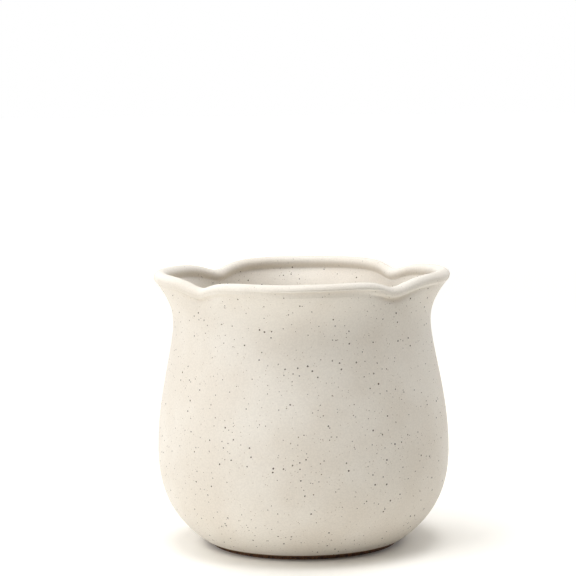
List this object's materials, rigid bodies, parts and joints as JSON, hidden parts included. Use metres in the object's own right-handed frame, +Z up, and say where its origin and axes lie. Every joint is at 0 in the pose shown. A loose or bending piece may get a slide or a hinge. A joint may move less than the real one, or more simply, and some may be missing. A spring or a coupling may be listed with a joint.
{
  "type": "utensil crock",
  "caption": "Bellied glazed stoneware crock on a narrow foot, with a drawn-in neck, a rolled flared rim pinched into four lobes, and a cork base pad.",
  "frame": {"origin": "centre of the cork pad's underside, on the table", "axes": "+Z up through the mouth, +X and +Y through two neighbouring lobes of the rim, with the slightly wider lobes along Y"},
  "size_m": [0.1688, 0.1688, 0.1559],
  "materials": {
    "speckled_glaze": "satin warm-white glaze with fine dark specks",
    "cork": "fine agglomerated cork, dark brown",
    "adhesive": "thin clear adhesive film"
  },
  "bodies": {
    "root": {"crock_body": "speckled_glaze", "cork_base_pad": "cork", "pad_adhesive_film": "adhesive"}
  },
  "joints": []
}
